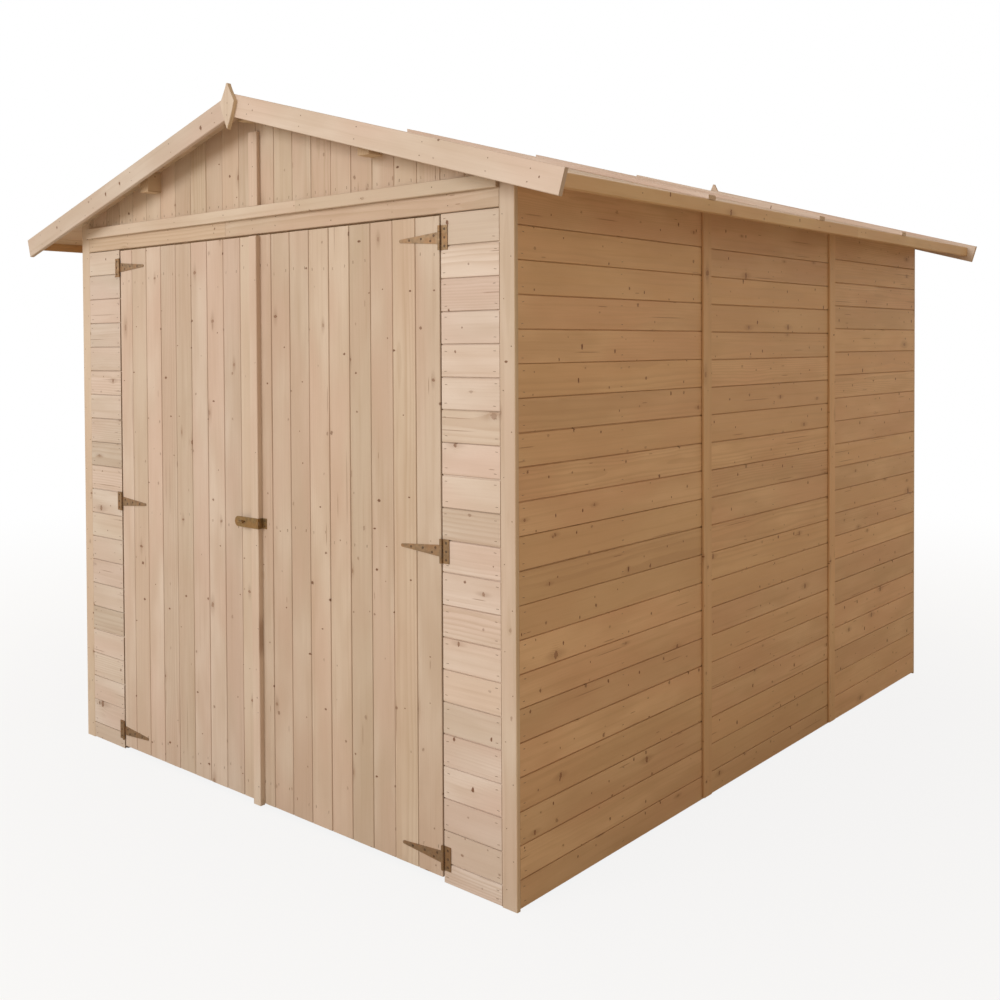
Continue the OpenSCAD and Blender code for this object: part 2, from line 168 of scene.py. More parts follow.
class Timber:
    """One piece made of boards, with the grain's place and a tone for each board.

    Faces that turned() picks by their normal get the second wood, flank: a painted shade on faces
    turned away from the key light, or a painted lit colour on faces turned towards it."""

    def __init__(self, name, body, nodes=(), slot="wall_boards", wood="front", flank=None,
                 turned=turned_sideways):
        self.name, self.body, self.nodes, self.slot, self.wood = name, body, nodes, slot, wood
        self.flank, self.turned = flank, turned
        self.rnd = random.Random(sum(ord(c) * (i + 3) for i, c in enumerate(name)))
        self.v, self.f, self.grain, self.tone, self.end = [], [], [], [], []
        self.nails = []

    def board(self, origin, along, across, out, length, width, t=T, tongue=True, groove=True,
              gap=.0016, ease=.0019, low=0.0, high=0.0, start=None, stop=None, profile=None,
              play=1.0, nails=(), nail_rows=(.018, .018), staples=False):
        """A board from origin, the face's corner.

        low and high bevel its long edges, start and stop give slanted ends as functions of
        (across, out), and play scales how far it is off. nails are places along it, each with a
        nail or staple in every row; two rows are counted from the two long edges."""
        r = self.rnd
        origin, along, across, out = Vector(origin), Vector(along), Vector(across), Vector(out)
        gaps = (gap * r.uniform(.5, 1.9), gap * r.uniform(.5, 1.9))
        pts = profile or board_profile(width, t, tongue, groove, gaps, ease)
        mid = width / 2
        pts = [(a + -o * (low if a < mid else high), o) for a, o in pts]
        segs = max(1, min(8, round(length / SECTION)))
        lift = r.uniform(-LIFT, LIFT) * play
        bow = r.uniform(-BOW, BOW) * play
        wave = [[r.uniform(-WAVE, WAVE) * play for _ in range(segs + 1)] for _ in (0, 1)]
        shift = r.uniform(2, 40)
        pith_a = r.uniform(-.25, 1.25) * width
        pith_o = r.choice((-1, -1, 1)) * r.uniform(.012, .075) - t / 2
        tone = (r.random(), r.random(), r.random())
        base, n = len(self.v), len(pts)
        for k in range(segs + 1):
            u = k / segs
            for a, o in pts:
                s0 = start(a, o) if start else 0.0
                s1 = stop(a, o) if stop else length
                s = s0 + (s1 - s0) * u
                da = wave[0 if a < mid else 1][k]
                do = lift + bow * 4 * u * (1 - u)
                self.v.append(origin + along * s + across * (a + da) + out * (o + do))
                self.grain.append((s + shift, a - pith_a, o - pith_o))
                self.tone.append(tone)
        flip = along.cross(across).dot(out) < 0
        self.f += sides_of_rings(base, segs + 1, n, not flip)
        first = [base + i for i in range(n)]
        last = [base + segs * n + i for i in range(n)]
        self.f += [first[::-1], last] if flip else [first, last[::-1]]
        self.end += [0.0] * (segs * n) + [1.0, 1.0]
        for s in nails:
            rows = (nail_rows[0], width - nail_rows[1]) if len(nail_rows) == 2 else nail_rows
            for a in rows:
                p = (s + r.uniform(-.004, .004), a + r.uniform(-.003, .003))
                place = origin + along * p[0] + across * p[1] + out * lift
                self.nails.append((place, out.copy(), along.copy() if staples else None))

    def bar(self, origin, along, across, out, length, width, t=BATTEN_T, ease=.0014, **kw):
        """A sawn batten; it takes what board() takes."""
        kw.setdefault("play", .5)
        self.board(origin, along, across, out, length, width, t,
                   profile=bar_profile(width, t, ease), **kw)

    def plain_board(self, origin, along, across, out, length, width, t=T, **kw):
        """A planed board without tongue, groove or gap."""
        self.board(origin, along, across, out, length, width, t, tongue=False, groove=False,
                   gap=0, **kw)

    def prism(self, outline, y0, y1, ease=.0012):
        """A flat piece with a free outline in X-Z, grain upright, and eased edges at y1."""
        r = self.rnd
        shift, tone = r.uniform(2, 40), (r.random(), r.random(), r.random())
        n, base = len(outline), len(self.v)
        d = 1 if y1 > y0 else -1
        rings = [(y0, 0), (y1 - d * ease, 0), (y1, ease)]
        area = sum(p[0] * q[1] - q[0] * p[1] for p, q in zip(outline, outline[1:] + outline[:1]))
        for y, inset in rings:
            for i, p in enumerate(outline):
                a, b = Vector(outline[i - 1]), Vector(outline[(i + 1) % n])
                side = (b - a).normalized()
                normal = Vector((side.y, -side.x)) * (1 if area > 0 else -1)
                q = Vector(p) - normal * inset
                self.v.append(Vector((q.x, y, q.y)))
                self.grain.append((q.y + shift, q.x - .01, y - y1 + .03))
                self.tone.append(tone)
        flip = (area > 0) == (d > 0)
        self.f += sides_of_rings(base, len(rings), n, flip)
        last = base + (len(rings) - 1) * n
        caps = [[base + i for i in range(n)], [last + i for i in range(n)]]
        self.f += [caps[0], caps[1][::-1]] if flip else [caps[0][::-1], caps[1]]
        self.end += [0.0] * ((len(rings) - 1) * n + 2)

    def nail(self, x, y, z, out):
        """A single nail, apart from the boards' rows."""
        self.nails.append((Vector((x, y, z)), out, None))

    def done(self):
        """Builds the piece, and keeps its nails for nail_pieces()."""
        me = bpy.data.meshes.new(self.name)
        me.from_pydata([tuple(v) for v in self.v], [], self.f)
        for key, data in (("grain", self.grain), ("tone", self.tone)):
            attribute = me.attributes.new(key, "FLOAT_VECTOR", "POINT")
            attribute.data.foreach_set("vector", [c for p in data for c in p])
        me.attributes.new("end", "FLOAT", "FACE").data.foreach_set("value", self.end)
        me.update()
        me.materials.append(WOODS[self.wood])
        if self.flank:
            me.materials.append(WOODS[self.flank])
            for face in me.polygons:
                face.material_index = int(self.turned(face.normal))
        ob = bpy.data.objects.new(self.name, me)
        bpy.context.scene.collection.objects.link(ob)
        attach(ob, self.body)
        if self.nodes:
            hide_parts(*self.nodes)
        NAILS.setdefault(self.body, []).extend(self.nails)


NAILS = {}


def metal_piece(name, verts, faces, materials, body):
    """A piece of small hardware; its faces start with the first material."""
    me = bpy.data.meshes.new(name)
    me.from_pydata([tuple(v) for v in verts], [], faces)
    me.update()
    for material in materials:
        me.materials.append(material)
    ob = bpy.data.objects.new(name, me)
    bpy.context.scene.collection.objects.link(ob)
    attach(ob, body)
    return me


# ---- Materials -----------------------------------------------------------

def grey(value):
    return (value, value, value)


def scaled(color, factors):
    return tuple(c * k for c, k in zip(color, factors))


class Graph:
    """A small helper that writes shader nodes as expressions."""

    def __init__(self, name):
        self.mat = bpy.data.materials.new(name)
        self.mat.use_nodes = True
        self.nt = self.mat.node_tree
        self.bsdf = self.nt.nodes["Principled BSDF"]

    def node(self, kind, **props):
        nd = self.nt.nodes.new(kind)
        for k, v in props.items():
            setattr(nd, k, v)
        return nd

    def put(self, socket, value):
        if hasattr(value, "links"):
            self.nt.links.new(value, socket)
        elif isinstance(value, (tuple, list)) and len(value) == 3 and socket.type == "RGBA":
            socket.default_value = (*value, 1)
        else:
            socket.default_value = value

    def math(self, op, a, b=0.0, c=0.0, clamp=False):
        nd = self.node("ShaderNodeMath", operation=op, use_clamp=clamp)
        for s, v in zip(nd.inputs, (a, b, c)):
            self.put(s, v)
        return nd.outputs[0]

    def times(self, a, b):
        return self.math("MULTIPLY", a, b)

    def fma(self, a, b, c):
        """a * b + c"""
        return self.math("MULTIPLY_ADD", a, b, c)

    def hypot(self, a, b):
        return self.math("SQRT", self.math("ADD", self.math("POWER", a, 2.0),
                                           self.math("POWER", b, 2.0)))

    def vec(self, op, a, b=(0, 0, 0), scale=None):
        nd = self.node("ShaderNodeVectorMath", operation=op)
        self.put(nd.inputs[0], a)
        if scale is not None:
            self.put(nd.inputs["Scale"], scale)
        else:
            self.put(nd.inputs[1], b)
        return nd.outputs["Value" if op == "LENGTH" else "Vector"]

    def split(self, v):
        nd = self.node("ShaderNodeSeparateXYZ")
        self.put(nd.inputs[0], v)
        return nd.outputs

    def join(self, x, y, z):
        nd = self.node("ShaderNodeCombineXYZ")
        for s, v in zip(nd.inputs, (x, y, z)):
            self.put(s, v)
        return nd.outputs[0]

    def noise(self, v, scale, detail=2.0, rough=.5):
        nd = self.node("ShaderNodeTexNoise")
        self.put(nd.inputs["Vector"], v)
        for k, x in (("Scale", scale), ("Detail", detail), ("Roughness", rough)):
            self.put(nd.inputs[k], x)
        return nd.outputs[0]

    def grain_noise(self, v, lengthwise, crosswise, detail=2.0, rough=.5):
        """Noise drawn out along the grain: cycles per metre along and across it."""
        stretched = self.vec("MULTIPLY", v, (lengthwise, crosswise, crosswise))
        return self.noise(stretched, 1.0, detail, rough)

    def ramp(self, v, lo, hi, to0=0.0, to1=1.0, smooth=True):
        nd = self.node("ShaderNodeMapRange",
                       interpolation_type="SMOOTHSTEP" if smooth else "LINEAR")
        for s, x in zip(nd.inputs, (v, lo, hi, to0, to1)):
            self.put(s, x)
        return nd.outputs[0]

    def mix(self, fac, a, b, blend="MIX"):
        nd = self.node("ShaderNodeMix", data_type="RGBA", blend_type=blend)
        self.put(nd.inputs["Factor"], fac)
        self.put(nd.inputs["A"], a)
        self.put(nd.inputs["B"], b)
        return nd.outputs["Result"]

    def attr(self, name):
        return self.node("ShaderNodeAttribute", attribute_name=name)

    def bump(self, height, distance, strength=1.0):
        nd = self.node("ShaderNodeBump")
        for k, x in (("Strength", strength), ("Distance", distance), ("Height", height)):
            self.put(nd.inputs[k], x)
        return nd.outputs[0]


def knots(g, s, a, size_s, size_a, r_min, r_max, share):
    """Knots set at random along the board, in cells of size_s by size_a metres.

    Gives distance over radius, whether there is a knot, radius, place (along, across), random."""
    cell = g.join(g.math("DIVIDE", s, size_s), g.math("DIVIDE", a, size_a), 0.0)
    vor = g.node("ShaderNodeTexVoronoi", voronoi_dimensions="2D", feature="F1")
    g.put(vor.inputs["Vector"], cell)
    g.put(vor.inputs["Scale"], 1.0)
    g.put(vor.inputs["Randomness"], .9)
    px, py, _ = g.split(vor.outputs["Position"])
    ds = g.math("SUBTRACT", s, g.times(px, size_s))
    da = g.math("SUBTRACT", a, g.times(py, size_a))
    cr, cg, cb = g.split(vor.outputs["Color"])
    keep = g.math("LESS_THAN", cr, share)
    radius = g.fma(g.math("POWER", cg, 1.7), r_max - r_min, r_min)
    wobble = g.noise(g.join(s, a, cb), 190.0, 3.0)
    squash = g.ramp(cb, 0.0, 1.0, .72, 1.4, False)
    d = g.hypot(g.times(ds, squash), g.math("DIVIDE", da, squash))
    d = g.fma(g.math("SUBTRACT", wobble, .5), g.times(radius, 1.5), d)
    rel = g.math("DIVIDE", d, radius)
    return rel, keep, radius, ds, da, cb


def bend(g, keep, rel, radius, fall):
    """How far a knot pushes the rings round it aside, fading with its distance."""
    return g.times(keep, g.math("DIVIDE", radius, g.fma(g.math("POWER", rel, 2.0), fall, 1.0)))


def softwood(name, pale, deep, figure=1.0, knotty=1.0, sawn=0.0):
    """Spruce: rings cut through a log, fibres, knots with bent grain, and a tone for each board."""
    g = Graph(name)
    grain = g.attr("grain").outputs["Vector"]
    tone = g.attr("tone").outputs["Vector"]
    t1, t2, t3 = g.split(tone)
    s, a, o = g.split(grain)
    seeded = g.vec("ADD", grain, g.vec("SCALE", tone, scale=7.0))
    sa = g.fma(t1, 3.0, a)
    big_rel, big, big_r, ds, da, big_rnd = knots(
        g, s, sa, .30, .12, .0040, .0105, .24 * knotty)
    near_big = bend(g, big, big_rel, big_r, .35)
    pin_rel, pin, pin_r, _, _, pin_rnd = knots(
        g, s, g.math("ADD", sa, 9.0), .115, .078, .0022, .0060, .52 * knotty)
    near_pin = bend(g, pin, pin_rel, pin_r, .5)

    # rings: distance from the pith, drifting along the board and bent round the knots
    ring = g.hypot(a, o)
    for push, size in ((g.grain_noise(seeded, 1.1, 3.0), .034),
                       (g.grain_noise(seeded, 7.0, 26.0), .0035),
                       (near_big, -.75), (near_pin, -.6)):
        ring = g.fma(push, size, ring)
    spacing = g.ramp(t2, 0.0, 1.0, .0042, .0110, False)
    phase = g.math("FRACT", g.math("DIVIDE", ring, spacing))
    late = g.times(g.ramp(phase, .30, .86), g.ramp(phase, 1.0, .93))

    # how strongly they show: by the place, by the board, and more round the knots
    strong = g.ramp(g.grain_noise(seeded, .7, 5.0, 1.0), .48, .70)
    strong = g.fma(strong, .30, g.times(g.ramp(t3, .62, .95), .85))
    strong = g.fma(strong, .70 * figure, .07)
    swirled = g.math("MAXIMUM", g.ramp(near_big, .0006, .0040),
                     g.ramp(near_pin, .0008, .0030, 0, .7))
    strong = g.fma(swirled, .55, strong)

    # the board's own colour, its rings, streaks and fibres
    fibre = g.grain_noise(seeded, 9.0, 520.0, 3.0, .6)
    streak = g.grain_noise(seeded, 1.7, 62.0, 3.0, .55)
    cloud = g.grain_noise(seeded, 3.0, 11.0)
    pinkish = g.grain_noise(seeded, 2.2, 6.0, 1.0)
    mid = tuple((p + d) / 2 for p, d in zip(pale, deep))
    rosy, straw = scaled(mid, (1.06, .965, .985)), scaled(mid, (.99, 1.01, .945))
    col = g.mix(g.ramp(cloud, .3, .72), pale, mid)
    col = g.mix(g.ramp(pinkish, .35, .65, 0, .55), col, rosy)
    col = g.mix(g.times(g.ramp(t2, .35, 1.0), .5), col, straw)
    col = g.mix(g.math("MULTIPLY", late, g.times(strong, .62), clamp=True), col, deep)
    col = g.mix(g.ramp(streak, .5, .82, 0, .42), col, deep)
    col = g.mix(g.ramp(fibre, .35, .8, 0, .16 + .3 * sawn), col, deep)
    value = g.fma(t1, .13, .935)
    col = g.mix(1.0, col, g.join(*grey(value)), "MULTIPLY")

    # knots: a soft darker eye drawn out along the grain, a red-brown heart and a dark rim
    dark, heart = scaled(deep, (.55, .42, .36)), scaled(deep, (.40, .27, .21))
    tail = g.math("DIVIDE", g.hypot(g.times(ds, .30), da), big_r)
    col = g.mix(g.times(big, g.ramp(tail, 2.2, .5, 0, .26)), col, dark)
    body = g.times(big, g.ramp(big_rel, 1.12, .8))
    rim = g.times(body, g.ramp(big_rel, .62, .95))
    col = g.mix(g.times(body, g.ramp(big_rnd, 0, 1, .45, .9)), col, dark)
    col = g.mix(g.times(rim, g.ramp(big_rnd, .35, .8, .1, .95)), col, heart)
    pin_body = g.times(pin, g.ramp(pin_rel, 1.15, .75))
    col = g.mix(g.times(pin_body, g.ramp(pin_rnd, 0, .8, .35, 1.0)), col, heart)

    # short dark streaks of resin along the grain
    _, resin, _, ds, da, rnd = knots(
        g, s, g.math("ADD", sa, 17.0), .40, .055, .001, .002, .30 * knotty)
    size = g.fma(g.math("POWER", rnd, 3.0), .13, .012)
    along = g.ramp(g.math("DIVIDE", g.math("ABSOLUTE", ds), size), 1.0, .3)
    across = g.ramp(g.math("ABSOLUTE", da), .0019, .0006)
    col = g.mix(g.times(resin, g.times(along, g.times(across, .6))), col, dark)

    # cut ends show the rings and drink up more dirt
    end_col = g.mix(g.times(late, .5), mid, deep)
    end_col = g.mix(1.0, end_col, (.86, .82, .78), "MULTIPLY")
    col = g.mix(g.attr("end").outputs["Fac"], col, end_col)

    g.put(g.bsdf.inputs["Base Color"], col)
    rough = g.fma(fibre, .18, .52 + .12 * sawn)
    g.put(g.bsdf.inputs["Roughness"], g.fma(late, -.05, rough))
    g.bsdf.inputs["Specular IOR Level"].default_value = .35
    height = g.fma(late, g.times(strong, .6), g.times(fibre, .5 + 1.4 * sawn))
    height = g.fma(body, -.5, height)
    g.put(g.bsdf.inputs["Normal"], g.bump(height, .00035, .8))
    return g.mat


def zinc(name, base, dull, metallic=.75):
    """Yellow-passivated zinc plate: mottled, with a warmer tinge in patches and dull spots."""
    g = Graph(name)
    co = g.node("ShaderNodeNewGeometry").outputs["Position"]
    big = g.noise(co, 90.0, 3.0)
    fine = g.noise(co, 900.0, 2.0)
    col = g.mix(g.ramp(big, .35, .68), base, dull)
    tinge = scaled(base, (1.05, .88, .75))
    col = g.mix(g.ramp(g.noise(co, 34.0, 2.0), .42, .68, 0, .6), col, tinge)
    col = g.mix(g.ramp(fine, .55, .85, 0, .35), col, scaled(dull, grey(.5)))
    g.put(g.bsdf.inputs["Base Color"], col)
    g.bsdf.inputs["Metallic"].default_value = metallic
    g.put(g.bsdf.inputs["Roughness"], g.ramp(big, .2, .8, .38, .58))
    g.put(g.bsdf.inputs["Normal"], g.bump(fine, .00012, .6))
    return g.mat


# Pale and deep colour, then how strong the figure is, how knotty, and how rough-sawn
SPRUCE = {
    "front": ((.742, .630, .548), (.515, .376, .271)),
    # gable: darker and warmer than front, a painted shade under the roof's overhang; the front
    # gable and the header use it
    "gable": ((.640, .518, .400), (.444, .309, .197)),
    # front_left: the same boards as front, painted darker as a painted shade on the left panel
    "front_left": ((.683, .592, .512), (.474, .353, .253)),
    "door_left": ((.668, .550, .454), (.468, .330, .225), .85),
    "door_right": ((.628, .509, .401), (.440, .305, .199), .85),
    # side and eave: deeper, more orange copies of the spruce that carry a painted shade, the shade
    # of walls turned away from the key light; the side and back walls, the eave boards, the back
    # gables and the back's trims, rails, strips, barges and finial use them
    "side": ((.716, .478, .268), (.479, .282, .136), .8, 1.3),
    "eave": ((.675, .466, .248), (.482, .294, .135), .7),
    # flank: a painted shade, put on the faces that look sideways
    "flank": ((.700, .552, .378), (.490, .340, .200), .6, .6),
    "barge": ((.664, .562, .473), (.479, .356, .253), .8),
    "roof": ((.720, .570, .420), (.500, .360, .230)),
    "trim": ((.692, .573, .463), (.497, .362, .247), .6, .8),
    "sawn": ((.700, .550, .380), (.490, .340, .205), .8, 1.0, 1.0),
}
WOODS = {wood: softwood(f"spruce_{wood}", *look) for wood, look in SPRUCE.items()}
ZINC = zinc("zinc_yellow", (.335, .217, .122), (.250, .163, .094))
ZINC_PLATE = zinc("zinc_plates", (.314, .197, .103), (.240, .150, .078))
ZINC_HASP = zinc("zinc_hasp", (.300, .190, .080), (.215, .136, .058))
ZINC_SCREW = zinc("zinc_screws", (.115, .062, .028), (.075, .042, .020), .2)
# near-black zinc in the screws' cross recesses, a painted shade
ZINC_RECESS_SHADE = zinc("zinc_recess_shade", (.05, .035, .02), (.03, .02, .012), .3)
NAIL = zinc("nail_steel", (.26, .17, .10), (.14, .09, .055), .15)


# ---- Walls ----------------------------------------------------------------

def levels(first, last, joint, cover, top_board):
    """Heights of the joints from first to last, one of them at joint.

    The board at the top is at least top_board high."""
    z = joint
    while z - cover > first + NARROWEST:
        z -= cover
    out = [first]
    while z < last - top_board:
        if z > first + NARROWEST:
            out.append(z)
        z += cover
    return out + [last]


def courses(first, length, cover):
    """Edges of boards laid side by side from 0 to length, the first one of a width of its own."""
    edges = [0.0, first]
    while edges[-1] + cover < length - NARROWEST:
        edges.append(edges[-1] + cover)
    return zip(edges, edges[1:] + [length])


def lying_wall(tb, corner, along, out, length, z0, z1, joint, nails, cover=COVER, bevel=0.0,
               top_board=NARROWEST):
    """Boards laid along a wall. corner is the face's foot; nails are places along the boards."""
    edges = levels(z0, z1, joint, cover, top_board)
    for lo, hi in zip(edges, edges[1:]):
        last = hi == z1
        tb.board(Vector(corner) + Z * lo, along, Z, out, length, hi - lo, tongue=not last,
                 gap=.0019, ease=.0013, high=bevel if last else 0.0, nails=nails,
                 nail_rows=(.017, .017), staples=True)


def wall_frame(tb, corner, along, out, z1, posts, bevel=0.0):
    """Battens behind a wall: posts, and rails between them below and above."""
    back = Vector(corner) - out * T
    for p in posts:
        tb.bar(back + along * p, Z, along, out, z1, BATTEN_W,
               stop=lambda a, o: z1 + (T - o) * bevel)
    for a, b in zip(posts, posts[1:]):
        start, length = back + along * (a + BATTEN_W + GAP), b - a - BATTEN_W - 2 * GAP
        tb.bar(start, along, Z, out, length, BATTEN_W)
        tb.bar(start + Z * (z1 - BATTEN_W + T * bevel), along, Z, out, length, BATTEN_W,
               high=bevel)


def slope(sx):
    """Directions down the roof on side sx, and out of it."""
    return Vector((sx * COS, 0, -SIN)), Vector((sx * SIN, 0, COS))


def plumb(x, height):
    """A sloping timber's end, cut upright at x.

    height(a, o) is a point's height above the sloping line through the middle of the house."""
    return lambda a, o: (x - height(a, o) * SIN) / COS


def side_walls():
    frames = Timber("side_wall_frames", "garage", ("side_wall_battens",), "framing_timber", "sawn")
    # the side walls' boards and strips are of the side wood, with its painted shade
    strips = Timber("side_cover_strips", "garage", ("side_wall_strips",), "trim_timber", "side")
    w, t, foot = SIDE_STRIP_W, SIDE_STRIP_T, SIDE_STRIP_FOOT
    strip_l = under(WALL_X + t) - foot
    for sx, side in SIDES:
        for part, joint in SIDE_JOINT.items():
            node = f"{side}_wall_{part}"
            lo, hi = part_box(node)
            corner, length = (sx * WALL_X, lo.y, 0), hi.y - lo.y
            mid = (length - BATTEN_W) / 2
            tb = Timber(node + "_boards", "garage", (node,), wood="side")
            lying_wall(tb, corner, Y, X * sx, length, FOOT, under(WALL_X), joint,
                       (.020, mid + .022, length - .020), SIDE_COVER, TAN, SIDE_TOP_BOARD)
            tb.done()
            wall_frame(frames, corner, Y, X * sx, under(WALL_X),
                       (GAP / 2, mid, length - BATTEN_W - GAP / 2), TAN)
        for middle_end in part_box(f"{side}_wall_middle"):
            strips.bar((sx * (WALL_X + t), middle_end.y - w / 2, foot), Z, Y, X * sx, strip_l, w, t,
                       stop=lambda a, o: strip_l - o * TAN, nails=spaced(.06, .31, 6),
                       nail_rows=(w / 2,))
    strips.done()
    frames.done()


def front_walls():
    """The front wall's boards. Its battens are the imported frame's own mesh."""
    for sx, side in SIDES:
        node = f"front_panel_{side}"
        lo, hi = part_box(node)
        x0 = min(abs(lo.x), abs(hi.x))
        length = TRIM_X - x0
        # the left panel's boards are painted darker than the right's, a painted shade
        tb = Timber(node + "_boards", "garage", (node,), wood="front" if sx > 0 else "front_left")
        lying_wall(tb, (sx * x0, FRONT_Y, 0), X * sx, -Y, length, 0.0, hi.z, hi.z,
                   (.014, length - .014))
        tb.done()

    # a lath behind the gap over the doors, which they close against
    lo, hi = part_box("front_header")
    half_l, h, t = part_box("front_panel_right")[0].x - .004, .0215, .012
    tb = Timber("door_stop_lath", "garage", (), "framing_timber", "sawn")
    tb.bar((-half_l, FRONT_Y + T + .001, lo.z - h - GAP), X, Z, -Y, 2 * half_l, h, t)
    tb.done()

    joint, half_gap = -.157, .0004
    # the header's boards take the gable wood, with its painted shade
    tb = Timber("front_header_boards", "garage", ("front_header",), wood="gable")
    for x0, x1 in ((-TRIM_X, joint - half_gap), (joint + half_gap, TRIM_X)):
        tb.board((x0, FRONT_Y, lo.z), X, Z, -Y, x1 - x0, hi.z - lo.z, tongue=False, groove=False,
                 nails=[.02, .25, .5, .75, .95])
    tb.done()


def corner_trims():
    for sy, end in ENDS:
        node = f"{end}_corner_trims"
        y, out = sy * -FRONT_Y, Y * sy
        # sideways faces get the flank wood, a painted shade
        tb = Timber(node + "_boards", "garage", (node,), "trim_timber", TRIM_WOOD[end], "flank")
        for sx in (1, -1):
            tb.plain_board((sx * TRIM_X, y, 0), Z, X * sx, out, under(WALL_X), TRIM_W,
                           ease=.0015, stop=lambda a, o: under(TRIM_X + a), nail_rows=(.013,),
                           nails=[.05, .21, .44, .67, .9, 1.12, 1.35, 1.58, 1.8])
            for z in (.13, .33, .56, .78, 1.01, 1.24, 1.46, 1.69):
                tb.nail(sx * (WALL_X - .012), y, z, out)
        tb.done()


def gables():
    for sy, end in ENDS:
        for sx, side in SIDES:
            node = f"{end}_gable_{side}"
            z0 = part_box(node)[0].z
            # the front gable's boards are of the gable wood, the back's of the side wood, both with
            # a painted shade
            tb = Timber(node + "_boards", "garage", (node,), wood="gable" if sy < 0 else "side")
            for x, x1 in courses(GABLE_COVER, TRIM_X, GABLE_COVER):
                tb.board((sx * x, sy * -FRONT_Y, z0), Z, X * sx, Y * sy, UNCUT, x1 - x,
                         tongue=x1 < TRIM_X, gap=.0009, ease=.0012,
                         stop=lambda a, o: under(x + a) - z0, nails=(.037,), staples=True)
            tb.done()
        lo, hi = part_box(f"{end}_gable_batten")
        face, joint = lo.y if sy < 0 else hi.y, -.20 * sy
        tb = Timber(f"{end}_gable_rail", "garage", (f"{end}_gable_batten",), "trim_timber",
                    TRIM_WOOD[end])
        for x0, x1 in ((-hi.x, joint), (joint, hi.x)):
            tb.bar((x0, face, lo.z), X, Z, Y * sy, x1 - x0, hi.z - lo.z, hi.y - lo.y, ease=.0018,
                   nails=[.02, .28, .55, .82], nail_rows=(.0185,))
        tb.done()


def middle_strips():
    """Strips over the joints in the middle of the front gable and of the back."""
    lo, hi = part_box("front_gable_strip")
    tb = Timber("front_gable_strip_board", "garage", ("front_gable_strip",), "trim_timber", "trim")
    tb.bar(lo, Z, X, -Y, hi.z - lo.z, hi.x - lo.x, hi.y - lo.y, nails=[.03, .12, .2],
           nail_rows=(.021,))
    tb.done()
    lo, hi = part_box("back_wall_strips")
    rail_lo, rail_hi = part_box("back_gable_batten")
    # the back's strips are of the eave wood, with its painted shade
    tb = Timber("back_strip_boards", "garage", ("back_wall_strips",), "trim_timber", "eave")
    for z0, z1 in ((lo.z, rail_lo.z), (rail_hi.z, hi.z)):
        first, step = .05, .3
        tb.bar((lo.x, hi.y, z0), Z, X, Y, z1 - z0, hi.x - lo.x, hi.y - lo.y, nail_rows=(.021,),
               nails=spaced(first, step, int((z1 - z0 - .06) / step) + 1))
    tb.done()


def gable_frame(tb, sx, z0):
    """Rail, post and sloping rails behind half of the back gable."""
    y = -FRONT_Y - T
    foot = z0 + BATTEN_W + GAP
    tb.bar((sx * GAP / 2, y, z0), X * sx, Z, Y, ROOM_X - GAP / 2, BATTEN_W)
    tb.bar((sx * GAP / 2, y, foot), Z, X * sx, Y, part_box("ridge_beam")[0].z - GAP - foot,
           BATTEN_W - GAP / 2)
    down, normal = slope(sx)
    below = lambda a, o: -a
    wall_end = plumb(ROOM_X, below)
    on_rail = lambda a, o: min(wall_end(a, o), (under(0) - foot - a * COS) / SIN)
    for x0, stop in ((BATTEN_W + GAP, plumb(PURLIN_X - GAP, below)), (PURLIN_END + GAP, on_rail)):
        tb.bar(Vector((0, y, under(0) - .0002)), down, -normal, Y, UNCUT, BATTEN_W,
               start=plumb(x0, below), stop=stop)


def back_wall():
    frames = Timber("back_wall_frames", "garage", ("back_wall_battens",), "framing_timber", "sawn")
    mid = (ROOM_X - BATTEN_W) / 2
    corner = (0, -FRONT_Y, 0)
    for sx, side in SIDES:
        node = f"back_wall_{side}"
        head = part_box(node)[1].z
        # the back wall's boards are of the side wood, with its painted shade
        tb = Timber(node + "_boards", "garage", (node,), wood="side")
        lying_wall(tb, corner, X * sx, Y, TRIM_X, FOOT, head, BACK_JOINT,
                   (.022, mid + .022, TRIM_X - .016))
        tb.done()
        wall_frame(frames, corner, X * sx, Y, head - GAP, (GAP / 2, mid, ROOM_X - BATTEN_W))
        gable_frame(frames, sx, head)
    frames.done()


# ---- Roof ------------------------------------------------------------------

def roof_panels():
    length, joint = DECK_X / COS, .0004
    for sx, side in SIDES:
        down, normal = slope(sx)
        for i in range(PANELS):
            node = f"roof_{side}_{i + 1}"
            tb = Timber(node + "_boards", "garage", (node,), "roof_boards", "roof")
            y = PANEL_Y[i] + joint
            for s, s1 in courses(RIDGE_BOARD, length, COVER):
                tb.board(Vector((0, y, RIDGE_Z)) + down * s, Y, down, normal,
                         PANEL_L - 2 * joint, s1 - s, tongue=s1 < length,
                         low=TAN if s == 0 else 0.0, high=TAN if s1 == length else 0.0,
                         nails=(.014, PANEL_L - .014), staples=True)
            tb.done()


def rafters():
    """Battens under each roof panel's two edges, cut round the beams and the walls."""
    tb = Timber("rafter_pieces", "garage", ("rafters",), "framing_timber", "sawn")
    w, d = RAFTER_W, RAFTER_D
    inside = [(BATTEN_W / 2, PURLIN_X), (PURLIN_END, ROOM_X), (WALL_X + T, DECK_X)]
    overhang = [(GAP / 2, DECK_X)]
    height = lambda a, o: -(T + d) - o
    for sx, _ in SIDES:
        down, normal = slope(sx)
        for i in range(PANELS):
            for y, outside in ((PANEL_Y[i], i == 0), (PANEL_Y[i + 1] - w, i == PANELS - 1)):
                for x0, x1 in overhang if outside else inside:
                    tb.bar(Vector((0, y, RIDGE_Z)) - normal * (T + d), down, Y, -normal, UNCUT, w,
                           d, start=plumb(x0, height), stop=plumb(x1, height))
    tb.done()


